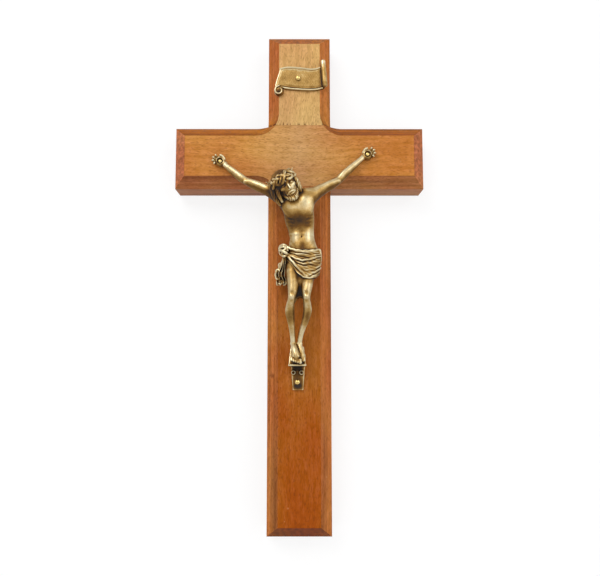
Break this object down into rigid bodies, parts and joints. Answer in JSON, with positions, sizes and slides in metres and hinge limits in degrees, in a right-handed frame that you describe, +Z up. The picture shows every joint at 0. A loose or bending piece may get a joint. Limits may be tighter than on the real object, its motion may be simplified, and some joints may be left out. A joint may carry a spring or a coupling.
{
  "type": "wall crucifix",
  "caption": "Bevelled wooden wall cross with a cast metal corpus on a footrest, a blank cast scroll above it, domed fixing pins and a swinging ring hanger sunk in the back.",
  "frame": {"origin": "on the flat back face of the cross, at the centre of the crossing", "axes": "+Z up the post, +Y out of the back towards the wall, +X to the right as seen from the front"},
  "size_m": [0.128, 0.0418, 0.254],
  "materials": {
    "post_wood": "satin clear varnish over stained hardwood, grain upright",
    "crossbar_wood": "satin clear varnish over stained hardwood, grain sideways",
    "antique_brass": "cast, darkened in the hollows and rubbed bright on the high places",
    "pin_brass": "polished brass heads",
    "hanger_steel": "zinc plated sheet, wire and screw"
  },
  "bodies": {
    "cross": {"upright_post": "post_wood", "crossbar": "crossbar_wood", "corpus": "antique_brass", "scroll": "antique_brass", "left_hand_pin": "pin_brass", "right_hand_pin": "pin_brass", "foot_pin": "pin_brass", "scroll_pin": "pin_brass", "hanger_strap": "hanger_steel", "hanger_screw": "hanger_steel"},
    "ring": {"hanger_ring": "hanger_steel"}
  },
  "joints": [
    {"name": "ring_swing", "type": "hinge", "parent": "cross", "child": "ring", "pos_m": [0, -0.0022, 0.038], "axis": [-1, 0, 0], "range_deg": [0, 160]}
  ]
}
